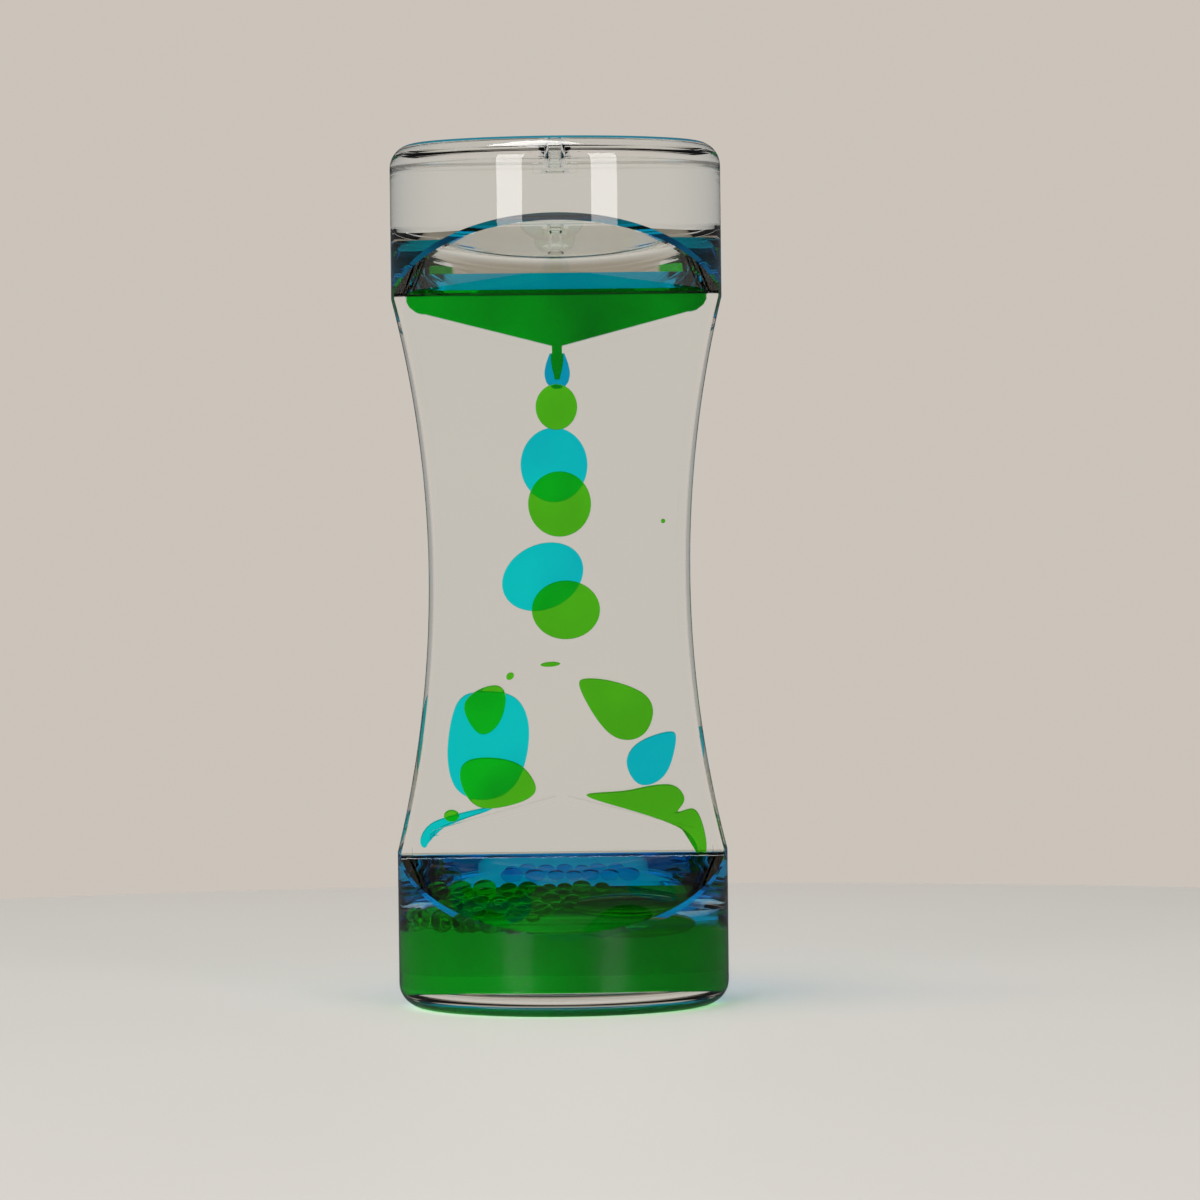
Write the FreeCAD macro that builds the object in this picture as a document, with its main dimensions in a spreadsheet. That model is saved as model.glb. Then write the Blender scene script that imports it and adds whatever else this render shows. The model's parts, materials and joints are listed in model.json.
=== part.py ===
# Liquid motion timer: a clear hourglass vessel with two thin chambers, one of green and one of blue liquid.
# Frame: millimetres, +Z up, origin at the centre of the base, front window towards -Y.
import FreeCAD, Part
import math
import os

import Sketcher
from FreeCAD import Placement, Rotation, Vector

# Driving sizes: lengths in millimetres, angles in degrees.
SIZES = {
    # Outer form of the vessel; a rise starts at the nearer end, so that the waist takes up a change of height
    "overall_height": 143.5,
    "end_radius": 27.5,
    "rim_radius": 4.0,
    "waist_half_width": 21.8,
    "waist_rise": 25.75,
    "flat_half_depth": 6.0,
    "arch_rise": 13.85,
    "shoulder_angle": 27.5,
    "blend_radius": 9.0,
    "foot_land": 0.7,
    "foot_depth": 0.8,
    # Walls, and the drafted inner faces of the two end plates
    "side_wall": 2.3,
    "window_wall": 2.2,
    "roof_wall": 2.6,
    "roof_draft": 3.0,
    # Divider plate and its rebate in the shells
    "divider_thickness": 1.2,
    "rebate_depth": 1.0,
    "divider_clearance": 0.15,
    # Funnel ribs
    "rib_rise": 33.85,
    "rib_angle": 14.6,
    "rib_thickness": 1.0,
    "rib_end_inset": 5.5,
    "nozzle_half_width": 0.95,
    # Fill hole of each shell, and its plug
    "fill_offset": 12.5,
    "fill_hole_radius": 1.4,
    "fill_boss_radius": 2.2,
    "fill_boss_drop": 1.7,
    "plug_clearance": 0.03,
    "plug_chamfer": 0.3,
    # Pools: depth above the upper nozzle, and level above the base
    "oil_film": 0.12,
    "green_upper_depth": 10.65,
    "blue_upper_depth": 15.35,
    "green_lower_level": 14.8,
    "blue_lower_level": 19.8,
    "brow_width": 4.0,
    "brow_drop": 1.8,
    "neck_half_width": 1.14,
    "neck_length": 5.0,
    "pendant_half_width": 2.1,
    "pendant_length": 7.0,
    # Drops and streams
    "drop_clearance": 0.3,
    "stream_height": 6.2,
    "stream_spill": 6.0,
    "trickle_height": 1.2,
    "trickle_spill": 3.4,
    "spill_width": 1.9,
    # Bubbles heaped on the lower pools
    "bubble_radius": 1.8,
    "bubble_gap": 0.4,
    "green_heap_inset": 7.1,
    "blue_heap_end": -6.0,
    # Length that lets every cut run clear of the solid
    "overrun": 5.0,
}

# Drops: place across, half sizes and tilt of each one, and its height above the base or its gap to what is below.
# A drop in free fall has none of these, and one close to the side has an inset from the end's outside.
DROPS = {
    "green_drop_top": {"across": -0.2, "half_width": 3.55, "half_height": 3.9},
    "green_drop_middle": {"across": 0.15, "half_width": 5.35, "half_height": 5.55},
    "green_drop_low": {"across": 1.0, "half_width": 5.8, "half_height": 5.0},
    "green_sliver": {"across": -1.7, "half_width": 1.7, "half_height": 0.45, "tilt": 3.0},
    "green_bead_left": {"across": -8.4, "height": 55.0, "half_width": 0.75, "half_height": 0.6, "tilt": 40.0},
    "green_bead_right": {"across": 17.3, "half_width": 0.4, "half_height": 0.4},
    "green_drop_shield": {"across": -12.8, "rise": 12.2, "half_width": 3.8, "half_height": 4.5},
    "green_drop_rest": {"across": -10.6, "rib_gap": 0.43, "half_width": 6.65, "half_height": 4.4},
    "green_drop_wing": {"across": 9.06, "half_width": 6.56, "half_height": 5.48},
    "green_bead_rib": {"across": -18.4, "rib_gap": 0.512, "half_width": 1.33, "half_height": 1.05},
    "blue_drop_top": {"across": -0.7, "half_width": 5.7, "half_height": 6.35},
    "blue_drop_middle": {"across": -2.8, "half_width": 7.2, "half_height": 5.5, "tilt": 25.0},
    "blue_drop_column": {"across": -12.1, "rib_gap": 1.921, "half_width": 7.0, "half_height": 9.3},
    "blue_drop_comma": {"across": 15.0, "rib_gap": 4.906, "half_width": 4.35, "half_height": 4.77},
    "blue_bead_fallen": {"side_inset": 4.6, "pool_gap": 2.5, "half_width": 1.0, "half_height": 0.9},
}

# Drops in free fall: what each one follows, and how far below it, as a share of the fall between the nozzles.
TOP_GAP_SHARE = 0.01517
FALL_STEP_SHARES = {
    "green_drop_middle": ("green_drop_top", 0.2124),
    "green_drop_low": ("green_drop_middle", 0.23219),
    "green_sliver": ("green_drop_low", 0.11873),
    "green_drop_wing": ("green_drop_low", 0.21834),
    "green_bead_right": ("upper_nozzle", 0.38456),
    "blue_drop_top": ("upper_nozzle", 0.25923),
    "blue_drop_middle": ("blue_drop_top", 0.24538),
}

# Drops that are no oval: corners of their outline as shares of the half width and half height.
OUTLINE_SHARES = {
    "green_drop_shield": [
        (0.68, 1.12), (1.08, 0.78), (0.98, 0.05), (0.68, -0.72), (0.02, -1.12),
        (-0.55, -0.85), (-1.08, 0.12), (-0.72, 0.55),
    ],
    "green_drop_rest": [
        (-1.03, 0.85), (-0.65, 1.07), (0.1, 1.05), (0.72, 0.66), (1.06, -0.3),
        (0.58, -0.78), (-0.15, -1.02), (-0.68, -1.02), (-1.0, -0.1),
    ],
    "green_drop_wing": [
        (-1.02, 1.02), (-0.2, 0.96), (0.7, 0.62), (1.05, 0.1), (1.0, -0.6),
        (0.6, -1.02), (0.1, -1.04), (-0.35, -0.62), (-0.85, 0.3),
    ],
    "blue_drop_column": [
        (-0.82, 1.02), (-1.03, 0.15), (-1.02, -0.5), (-0.72, -0.95), (-0.1, -1.04),
        (0.62, -0.9), (0.95, -0.35), (1.03, 0.35), (0.75, 1.0),
    ],
    "blue_drop_comma": [
        (0.2, 0.92), (1.02, 1.05), (0.85, -0.1), (0.6, -0.75), (0.05, -1.02),
        (-0.72, -1.04), (-1.05, -0.3), (-0.95, 0.35),
    ],
}
OUTLINE_ROUND_SHARE = 0.35

# An oval is an eight-cornered outline round the half sizes, with corners rounded almost till they meet.
OVAL_CORNERS = 8
OVAL_ROUND_SHARE = 0.85

# Liquid that hangs from a nozzle: shares of its half width and of its length below the nozzle.
NECK_SHARES = [(1.0, 0.26), (0.62, 0.74), (0.36, 1.0)]
PENDANT_SHARES = [(0.62, 0.2), (1.0, 0.56), (0.86, 0.82), (0.4, 1.0)]

# Streams on the lower ribs: crest as shares of the rib's run and of the stream's height, from the middle out,
# then the spill past the rib's end as shares of the spill's width and length.
STREAM_CREST_SHARES = [
    (0.07, 0.0), (0.17, 0.21), (0.44, 0.46), (0.59, 0.71), (0.75, 0.94), (0.86, 1.0),
    (0.93, 0.76), (0.92, 0.52), (0.84, 0.2), (0.95, 0.44), (1.0, 0.5),
]
STREAM_SPILL_SHARES = [(0.4, -0.3), (0.85, 0.28), (0.95, 0.72), (0.4, 1.0), (0.0, 0.85), (0.0, 0.0)]
TRICKLE_CREST_SHARES = [(0.47, 0.0), (0.51, 0.8), (0.7, 1.0), (0.9, 1.0), (1.0, 0.8)]
TRICKLE_SPILL_SHARES = [(0.5, 0.1), (0.8, 0.5), (0.75, 0.85), (0.35, 1.0), (0.0, 0.8), (0.0, 0.0)]

# Bubbles in each row of a heap, the row along the divider plate first.
GREEN_ROW_COUNTS = (4, 3)
BLUE_ROW_COUNTS = (3,)

# Bands that round the rims of the end plates
RIM_BANDS = 4

doc = FreeCAD.newDocument("liquid_motion_timer")
sheet = doc.addObject("Spreadsheet::Sheet", "dims")
cells = list(SIZES.items())
for drop_name, drop_sizes in DROPS.items():
    cells += [(drop_name + "_" + key, value) for key, value in drop_sizes.items()]
cells += [
    ("lower_nozzle_height", "=rib_rise"),
    ("upper_nozzle_height", "=overall_height - rib_rise"),
    ("fall", "=upper_nozzle_height - lower_nozzle_height"),
    ("neck_end", "=upper_nozzle_height - neck_length"),
    ("green_drop_top_height", "=neck_end - %s * fall - green_drop_top_half_height" % TOP_GAP_SHARE),
    ("blue_bead_fallen_height", "=blue_lower_level + blue_bead_fallen_pool_gap + blue_bead_fallen_half_height"),
]
for drop_name, (above, step_share) in FALL_STEP_SHARES.items():
    cells.append((drop_name + "_height", "=%s_height - %s * fall" % (above, step_share)))
for row, (alias, value) in enumerate(cells, start=1):
    sheet.set("A%d" % row, alias)
    sheet.set("B%d" % row, str(value))
    sheet.setAlias("B%d" % row, alias)
doc.recompute()

# Expressions that several sub-parts share
MID = "dims.overall_height / 2"
SHOULDER = "(dims.shoulder_angle * 1 deg)"
HALF_BEND = "((90 - dims.shoulder_angle) / 2 * 1 deg)"
RIB_TURN = "(dims.rib_angle * 1 deg)"
RIB_SPAN = "(dims.end_radius - dims.rib_end_inset)"
RIB_RUN = "(%s - dims.nozzle_half_width)" % RIB_SPAN
RIB_REACH = "(%s - dims.rib_rise)" % MID
DIVIDER_FACE = "dims.divider_thickness / 2"
WAIST_SAGITTA = "(dims.end_radius - dims.waist_half_width)"
WAIST_REACH = "(%s - dims.waist_rise)" % MID
WAIST_RADIUS = "((%s ^ 2 + %s ^ 2) / (2 * %s))" % (WAIST_REACH, WAIST_SAGITTA, WAIST_SAGITTA)
CHAMBER_DEPTH = "(dims.flat_half_depth - dims.window_wall - dims.divider_thickness / 2)"
FOOT_EDGE = "(dims.end_radius - dims.rim_radius - dims.foot_land)"
FOOT_RADIUS = "(%s - dims.foot_depth)" % FOOT_EDGE
BEYOND = "(dims.end_radius + dims.overrun)"
FRONT = "-"
REAR = ""


def number(expression):
    return float(sheet.evalExpression(expression))


def mirrored(corners):
    """The same corners on the other side of X = 0, in the order that closes the outline."""
    return [("-(%s)" % across, height) for across, height in reversed(corners)]


def add_body(name):
    body = doc.addObject("PartDesign::Body", name)
    body.Label = name
    return body


def add_sketch(body, name, role):
    sketch = body.newObject("Sketcher::SketchObject", name)
    plane = next(feature for feature in body.Origin.OriginFeatures if feature.Role == role)
    sketch.AttachmentSupport = [(plane, "")]
    sketch.MapMode = "FlatFace"
    return sketch


def bind_corner(sketch, side, corner):
    """Tie the start of one side to its place, given as two expressions."""
    geometry, start = side
    for kind, axis, expression in zip(("DistanceX", "DistanceY"), (-2, -1), corner):
        if expression == "0":
            sketch.addConstraint(Sketcher.Constraint("PointOnObject", geometry, start, axis))
        else:
            tie = sketch.addConstraint(Sketcher.Constraint(kind, -1, 1, geometry, start, number(expression)))
            sketch.setExpression("Constraints[%d]" % tie, expression)


def outline(body, name, role, corners, arcs=None):
    """A closed sketch with its corners bound to the sheet; arcs maps a side to its middle (x, y) and radius."""
    sketch = add_sketch(body, name, role)
    places = [Vector(number(across), number(height), 0) for across, height in corners]
    starts, ends = [], []
    for side, place in enumerate(places):
        following = places[(side + 1) % len(places)]
        clockwise = False
        if side in (arcs or {}):
            middle = Vector(number(arcs[side][0]), number(arcs[side][1]), 0)
            clockwise = (middle - place).cross(following - middle).z < 0
            first, last = (following, place) if clockwise else (place, following)
            geometry = sketch.addGeometry(Part.Arc(first, middle, last))
            tie = sketch.addConstraint(Sketcher.Constraint("Radius", geometry, number(arcs[side][2])))
            sketch.setExpression("Constraints[%d]" % tie, arcs[side][2])
        else:
            geometry = sketch.addGeometry(Part.LineSegment(place, following))
        starts.append((geometry, 2 if clockwise else 1))
        ends.append((geometry, 1 if clockwise else 2))
    for side, corner in enumerate(corners):
        before = ends[side - 1]
        after = starts[side]
        sketch.addConstraint(Sketcher.Constraint("Coincident", before[0], before[1], after[0], after[1]))
        bind_corner(sketch, after, corner)
    return sketch


def pad(body, name, sketch, length, midplane=False):
    feature = body.newObject("PartDesign::Pad", name)
    feature.Profile = sketch
    feature.setExpression("Length", length)
    feature.Midplane = midplane
    return feature


def through_pocket(body, name, role, corners, arcs=None):
    """A pocket that runs both ways through the whole body."""
    feature = body.newObject("PartDesign::Pocket", name)
    feature.Profile = outline(body, name + "_outline", role, corners, arcs)
    feature.Type = "ThroughAll"
    feature.Midplane = True


def half_turn(body, name, corners, arcs=None):
    """Turn a profile about Z through the front half, y below zero."""
    feature = body.newObject("PartDesign::Revolution", name)
    feature.Profile = outline(body, name + "_outline", "XZ_Plane", corners, arcs)
    feature.ReferenceAxis = (feature.Profile[0], ["V_Axis"])
    feature.Angle = 180
    doc.recompute()
    feature.Reversed = feature.Shape.CenterOfMass.y > 0


def waist_arc(inset):
    """Middle and radius of the waist's arc, for a profile that lies inset from the outer one."""
    return ("dims.waist_half_width - (%s)" % inset, MID, WAIST_RADIUS)


def notch(body, name, inset):
    """Cut the front window with its blends and slanted shoulders; inset moves its faces in from the outside."""
    face = "(dims.flat_half_depth - (%s))" % inset
    blend = "(dims.blend_radius + (%s))" % inset
    arch = "(%s - dims.arch_rise + (%s) / cos(%s))" % (MID, inset, SHOULDER)
    crease = "(%s - (dims.end_radius - %s) * tan(%s))" % (arch, face, SHOULDER)
    tangent = "(%s * tan(%s))" % (blend, HALF_BEND)
    flat = "(%s - %s)" % (crease, tangent)
    depth = "(%s + %s * cos(%s))" % (face, tangent, SHOULDER)
    rise = "(%s + %s * sin(%s))" % (crease, tangent, SHOULDER)
    middle_depth = "(%s + %s * (1 - cos(%s)))" % (face, blend, HALF_BEND)
    middle_rise = "(%s + %s * sin(%s))" % (flat, blend, HALF_BEND)
    brim = "(%s + dims.overrun * tan(%s))" % (arch, SHOULDER)
    corners = [
        ("-" + BEYOND, MID + " - " + brim),
        ("-" + depth, MID + " - " + rise),
        ("-" + face, MID + " - " + flat),
        ("-" + face, MID + " + " + flat),
        ("-" + depth, MID + " + " + rise),
        ("-" + BEYOND, MID + " + " + brim),
    ]
    arcs = {
        1: ("-" + middle_depth, MID + " - " + middle_rise, blend),
        3: ("-" + middle_depth, MID + " + " + middle_rise, blend),
    }
    through_pocket(body, name, "YZ_Plane", corners, arcs)


def rim(step):
    """Corner of a rounded rim: its distance from the axis and from the end face."""
    angle = "(%s * 90 deg / %s)" % (step, RIM_BANDS)
    return ("dims.end_radius - dims.rim_radius * (1 - cos%s)" % angle, "dims.rim_radius * (1 - sin%s)" % angle)


def outer_form():
    """Front half of the vessel before it is hollowed."""
    body = add_body("outer_form")
    rims = [rim(step) for step in range(RIM_BANDS + 1)]
    foot = [("0", "dims.foot_depth"), (FOOT_RADIUS, "dims.foot_depth"), (FOOT_EDGE, "0")]
    lower = foot + rims[::-1] + [("dims.end_radius", "dims.waist_rise")]
    upper = [(across, "dims.overall_height - (%s)" % height) for across, height in reversed(lower)]
    half_turn(body, "outer_turn", lower + upper, {len(lower) - 1: waist_arc("0")})
    notch(body, "outer_notch", "0")
    return body


def rib_strip(sign_x, sign_z, film):
    """Corners of one funnel rib in the front view, widened by film on every side."""
    inner = "(dims.nozzle_half_width - (%s))" % film
    outer = "(%s + (%s))" % (RIB_SPAN, film)
    skin = "((%s) / cos(%s))" % (film, RIB_TURN)
    bottom = "(%s + %s - (%s) * tan(%s))" % (RIB_REACH, skin, film, RIB_TURN)
    climb = "((%s + 2 * (%s)) * tan(%s))" % (RIB_RUN, film, RIB_TURN)
    thick = "(dims.rib_thickness / cos(%s) + 2 * %s)" % (RIB_TURN, skin)
    across = "-" if sign_x < 0 else ""
    level = MID + (" - " if sign_z < 0 else " + ")
    return [
        (across + inner, "%s(%s - %s)" % (level, bottom, thick)),
        (across + outer, "%s(%s + %s - %s)" % (level, bottom, climb, thick)),
        (across + outer, "%s(%s + %s)" % (level, bottom, climb)),
        (across + inner, "%s%s" % (level, bottom)),
    ]


def waist_side(body, name, inset, across):
    """Narrow a body at the waist: cut one side to an arc that runs clear of it at both ends."""
    middle = "(dims.waist_half_width - (%s))" % inset
    bulge = "(%s - %s)" % (BEYOND, middle)
    reach = "sqrt(%s * (2 * %s - %s))" % (bulge, WAIST_RADIUS, bulge)
    ends = [(across + BEYOND, "%s - %s" % (MID, reach)), (across + BEYOND, "%s + %s" % (MID, reach))]
    through_pocket(body, name, "XZ_Plane", ends, {0: (across + middle, MID, WAIST_RADIUS)})


def chamber_form(name, film):
    """Hollow of the front shell, with gaps where its ribs stand; film shrinks it all round for the liquids."""
    body = add_body(name)
    top = "dims.overall_height"
    wall = "(dims.side_wall + (%s))" % film
    roof = "(dims.roof_wall + (%s))" % film
    radius = "(dims.end_radius - %s)" % wall
    ceiling = "%s - %s" % (top, roof)
    half_turn(body, name + "_turn", [("0", roof), (radius, roof), (radius, ceiling), ("0", ceiling)])
    waist_side(body, name + "_left_side", wall, "-")
    waist_side(body, name + "_right_side", wall, "")
    notch(body, name + "_notch", "dims.window_wall + (%s)" % film)
    drafted = "(%s + %s * tan(dims.roof_draft * 1 deg))" % (roof, BEYOND)
    floor_wedge = [
        ("0", roof), ("-" + BEYOND, drafted), ("-" + BEYOND, "-dims.overrun"), ("0", "-dims.overrun"),
    ]
    roof_wedge = [(across, "%s - (%s)" % (top, height)) for across, height in floor_wedge]
    through_pocket(body, name + "_floor_draft", "YZ_Plane", floor_wedge)
    through_pocket(body, name + "_roof_draft", "YZ_Plane", roof_wedge)
    for label, sign_x, sign_z in (
        ("upper_left", -1, 1), ("upper_right", 1, 1), ("lower_left", -1, -1), ("lower_right", 1, -1),
    ):
        through_pocket(body, "%s_%s_rib" % (name, label), "XZ_Plane", rib_strip(sign_x, sign_z, film))
    return body


def plate(name, clearance):
    """The plate that parts the two chambers, or with no clearance the rebate that holds it."""
    body = add_body(name)
    inset = "(dims.side_wall - dims.rebate_depth + (%s))" % clearance
    edge = "(dims.roof_wall - dims.rebate_depth + (%s))" % clearance
    side = "(dims.end_radius - %s)" % inset
    right = [
        (side, edge),
        (side, "dims.waist_rise"),
        (side, "dims.overall_height - dims.waist_rise"),
        (side, "dims.overall_height - " + edge),
    ]
    across, height, radius = waist_arc(inset)
    arcs = {1: (across, height, radius), 5: ("-(%s)" % across, height, radius)}
    sketch = outline(body, name + "_outline", "XZ_Plane", right + mirrored(right), arcs)
    pad(body, name + "_pad", sketch, "dims.divider_thickness", midplane=True)
    return body


def fill_cylinder(name, radius, height, base):
    feature = doc.addObject("Part::Cylinder", name)
    feature.setExpression("Radius", radius)
    feature.setExpression("Height", height)
    feature.setExpression("Placement.Base.y", "-dims.fill_offset")
    feature.setExpression("Placement.Base.z", base)
    return feature


def boolean(kind, name, base, tool):
    feature = doc.addObject("Part::" + kind, name)
    feature.Label = name
    feature.Base = base
    feature.Tool = tool
    return feature


def turned_to_rear(feature):
    """The rear half is the same moulding, turned half way round the vertical axis."""
    feature.Placement = Placement(Vector(), Rotation(Vector(0, 0, 1), 180))
    return feature


def shells_and_plugs():
    hollowed = boolean("Cut", "hollowed", outer_form(), chamber_form("hollow_form", "0"))
    rebated = boolean("Cut", "rebated", hollowed, plate("rebate_form", "0"))
    face = "(dims.overall_height - dims.foot_depth)"
    ceiling = "(dims.overall_height - dims.roof_wall - dims.fill_offset * tan(dims.roof_draft * 1 deg))"
    foot = "(%s - dims.fill_boss_drop)" % ceiling
    length = "(%s - %s)" % (face, foot)
    boss = fill_cylinder("fill_boss", "dims.fill_boss_radius", length, foot)
    bossed = boolean("Fuse", "bossed", rebated, boss)
    hole = fill_cylinder(
        "fill_hole", "dims.fill_hole_radius", length + " + 2 * dims.overrun", foot + " - dims.overrun"
    )
    pin = fill_cylinder("plug_pin", "dims.fill_hole_radius - dims.plug_clearance", length, foot)
    doc.recompute()
    edges = pin.Shape.Edges
    lowest = min(range(len(edges)), key=lambda index: edges[index].BoundBox.ZMax)
    chamfer = number("dims.plug_chamfer")
    nodes = []
    for side in ("front", "rear"):
        shell = boolean("Cut", side + "_shell", bossed, hole)
        plug = doc.addObject("Part::Chamfer", side + "_fill_plug")
        plug.Label = side + "_fill_plug"
        plug.Base = pin
        plug.Edges = [(lowest + 1, chamfer, chamfer)]
        nodes += [shell, plug]
    turned_to_rear(nodes[2])
    turned_to_rear(nodes[3])
    return nodes


def pool(name, film_form, corners):
    """Liquid in the front chamber: the part of the chamber, less an oil film, inside a front view outline."""
    prism = add_body(name + "_prism")
    sketch = outline(prism, name + "_outline", "XZ_Plane", corners)
    pad(prism, name + "_pad", sketch, BEYOND)
    prism.setExpression("Placement.Base.y", "-(%s + dims.oil_film)" % DIVIDER_FACE)
    return boolean("Common", name, film_form, prism)


def upper_pool(name, film_form, depth, half_width, length, hanging_shares):
    """A pool on the upper funnel and the liquid that hangs through its nozzle."""
    nozzle = "dims.upper_nozzle_height"
    level = "(%s + %s)" % (nozzle, depth)
    hanging = [
        ("%s * %s" % (half_width, share_x), "%s - %s * %s" % (nozzle, length, share_z))
        for share_x, share_z in reversed(hanging_shares)
    ]
    right = hanging + [
        ("dims.nozzle_half_width - dims.oil_film", nozzle),
        (BEYOND, "%s + (%s - dims.nozzle_half_width) * tan(%s)" % (nozzle, BEYOND, RIB_TURN)),
    ]
    return pool(name, film_form, right + brow(level) + mirrored(right + brow(level)))


def brow(level):
    """Right half of a pool's top: level in the middle, drawn down towards the side wall."""
    shoulder = "(dims.end_radius - dims.side_wall - dims.brow_width)"
    slope = "dims.brow_drop / dims.brow_width"
    edge = "%s - (dims.end_radius - %s) * %s" % (level, shoulder, slope)
    return [("dims.end_radius", edge), (shoulder, level)]


def lower_pool(name, film_form, level):
    right = [("dims.end_radius", "0")] + brow(level)
    return pool(name, film_form, right + mirrored(right))


def pancake(name, side, corners):
    """A flat solid between the window and the divider plate, from the corners of its front view."""
    body = add_body(name)
    sketch = outline(body, name + "_outline", "XZ_Plane", corners)
    pad(body, name + "_pad", sketch, CHAMBER_DEPTH + " - 2 * dims.drop_clearance", midplane=True)
    body.setExpression("Placement.Base.y", "%s(%s + %s / 2)" % (side, DIVIDER_FACE, CHAMBER_DEPTH))
    return body


def rib_top(across):
    """Height of a lower rib's upper face at a place across."""
    start = "(dims.lower_nozzle_height + dims.rib_thickness / cos(%s))" % RIB_TURN
    return "%s - (%s - dims.nozzle_half_width) * tan(%s)" % (start, across, RIB_TURN)


def rest_height(name):
    """Height of the middle of a drop that hangs just over a lower rib."""
    top = rib_top("abs(dims.%s_across)" % name)
    return "%s + dims.%s_half_height + dims.%s_rib_gap" % (top, name, name)


def drop(name):
    wide, tall = "dims.%s_half_width" % name, "dims.%s_half_height" % name
    shares, round_share = OUTLINE_SHARES.get(name), OUTLINE_ROUND_SHARE
    if shares is None:
        turns = [math.pi * (2 * step + 1) / OVAL_CORNERS for step in range(OVAL_CORNERS)]
        reach = 1 / math.cos(math.pi / OVAL_CORNERS)
        shares = [(reach * math.cos(turn), reach * math.sin(turn)) for turn in turns]
        round_share = OVAL_ROUND_SHARE
    corners = [("%.4f * %s" % (share_x, wide), "%.4f * %s" % (share_z, tall)) for share_x, share_z in shares]
    body = pancake(name, FRONT if name.startswith("green") else REAR, corners)
    body.Placement.Rotation = Rotation(Vector(0, 1, 0), -DROPS[name].get("tilt", 0))
    across = "dims.%s_across" % name
    if "side_inset" in DROPS[name]:
        across = "dims.%s_side_inset - dims.end_radius" % name
    height = "dims.%s_height" % name
    if "rib_gap" in DROPS[name]:
        height = rest_height(name)
    if "rise" in DROPS[name]:
        height = "%s + dims.%s_rise" % (rest_height("green_drop_rest"), name)
    body.setExpression("Placement.Base.x", across)
    body.setExpression("Placement.Base.z", height)
    doc.recompute()
    block = body.Tip
    corner_edges = [
        "Edge%d" % index for index, edge in enumerate(block.Shape.Edges, start=1)
        if edge.BoundBox.YLength > number(CHAMBER_DEPTH) / 2
    ]
    fillet = body.newObject("PartDesign::Fillet", name + "_rounding")
    fillet.Base = (block, corner_edges)
    fillet.setExpression("Radius", "%s * min(%s ^ 2 / %s; %s ^ 2 / %s)" % (round_share, wide, tall, tall, wide))
    return body


def stream(name, side, across_sign, height, spill, crest_shares, spill_shares):
    """Liquid that runs down a lower rib and over its end."""
    end = "(%s + dims.drop_clearance)" % RIB_SPAN
    corners = []
    for share_x, share_z in crest_shares:
        across = "(dims.nozzle_half_width + %s * %s)" % (share_x, RIB_RUN)
        crest = "%s + dims.drop_clearance + %s * %s" % (rib_top(across), share_z, height)
        corners.append((across_sign + across, crest))
    for share_x, share_z in spill_shares:
        across = "(%s + %s * dims.spill_width)" % (end, share_x)
        fall = "%s + dims.drop_clearance - (%s) * %s" % (rib_top(end), share_z, spill)
        corners.append((across_sign + across, fall))
    return pancake(name, side, corners)


def bubble_heap(name, side, level, heap_end, rows):
    """Bubbles that haven't merged yet, side by side on top of a lower pool."""
    pitch = "(2 * dims.bubble_radius + dims.bubble_gap)"
    bubbles = []
    for row, count in enumerate(rows):
        for place in range(count):
            bubble = doc.addObject("Part::Cylinder", "%s_%d_%d" % (name, row, place))
            bubble.setExpression("Radius", "dims.bubble_radius")
            bubble.setExpression("Height", "2 * dims.bubble_radius")
            bubble.setExpression("Placement.Base.x", "%s + %s * %s" % (heap_end, place + row / 2, pitch))
            behind = "(%s + dims.bubble_gap + dims.bubble_radius + %s * %s)" % (DIVIDER_FACE, row, pitch)
            bubble.setExpression("Placement.Base.y", side + behind)
            bubble.setExpression("Placement.Base.z", level + " + dims.oil_film")
            bubbles.append(bubble)
    heap = doc.addObject("Part::Compound", name)
    heap.Label = name
    heap.Links = bubbles
    return heap


nodes = shells_and_plugs()
nodes.append(plate("divider_plate", "dims.divider_clearance"))
film_form = chamber_form("film_form", "dims.oil_film")
nodes.append(upper_pool(
    "green_upper_pool", film_form, "dims.green_upper_depth",
    "dims.neck_half_width", "dims.neck_length", NECK_SHARES,
))
nodes.append(turned_to_rear(upper_pool(
    "blue_upper_pool", film_form, "dims.blue_upper_depth",
    "dims.pendant_half_width", "dims.pendant_length", PENDANT_SHARES,
)))
nodes.append(lower_pool("green_lower_pool", film_form, "dims.green_lower_level"))
nodes.append(turned_to_rear(lower_pool("blue_lower_pool", film_form, "dims.blue_lower_level")))
nodes += [drop(drop_name) for drop_name in DROPS]
nodes.append(stream(
    "green_rib_stream", FRONT, "", "dims.stream_height", "dims.stream_spill",
    STREAM_CREST_SHARES, STREAM_SPILL_SHARES,
))
nodes.append(stream(
    "blue_rib_trickle", REAR, "-", "dims.trickle_height", "dims.trickle_spill",
    TRICKLE_CREST_SHARES, TRICKLE_SPILL_SHARES,
))
nodes.append(bubble_heap(
    "green_bubble_heap", FRONT, "dims.green_lower_level",
    "(dims.green_heap_inset - dims.end_radius)", GREEN_ROW_COUNTS,
))
nodes.append(bubble_heap(
    "blue_bubble_heap", REAR, "dims.blue_lower_level", "dims.blue_heap_end", BLUE_ROW_COUNTS,
))
doc.recompute()

for feature in doc.Objects:
    if "Invalid" in feature.State or "Error" in feature.State:
        raise RuntimeError("%s did not build: %s" % (feature.Name, feature.State))
for node in nodes:
    if node.Shape.isNull() or not node.Shape.isValid() or not node.Shape.Solids:
        raise RuntimeError("%s has no valid solid" % node.Label)

os.makedirs("parts", exist_ok=True)
for node in nodes:
    node.Shape.exportStep("parts/%s.step" % node.Label)
    print("%-20s %d solids %9.2f mm3" % (node.Label, len(node.Shape.Solids), node.Shape.Volume))
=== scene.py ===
import json
import math
import random

import bmesh
import bpy
from mathutils import Matrix, Vector


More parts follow.
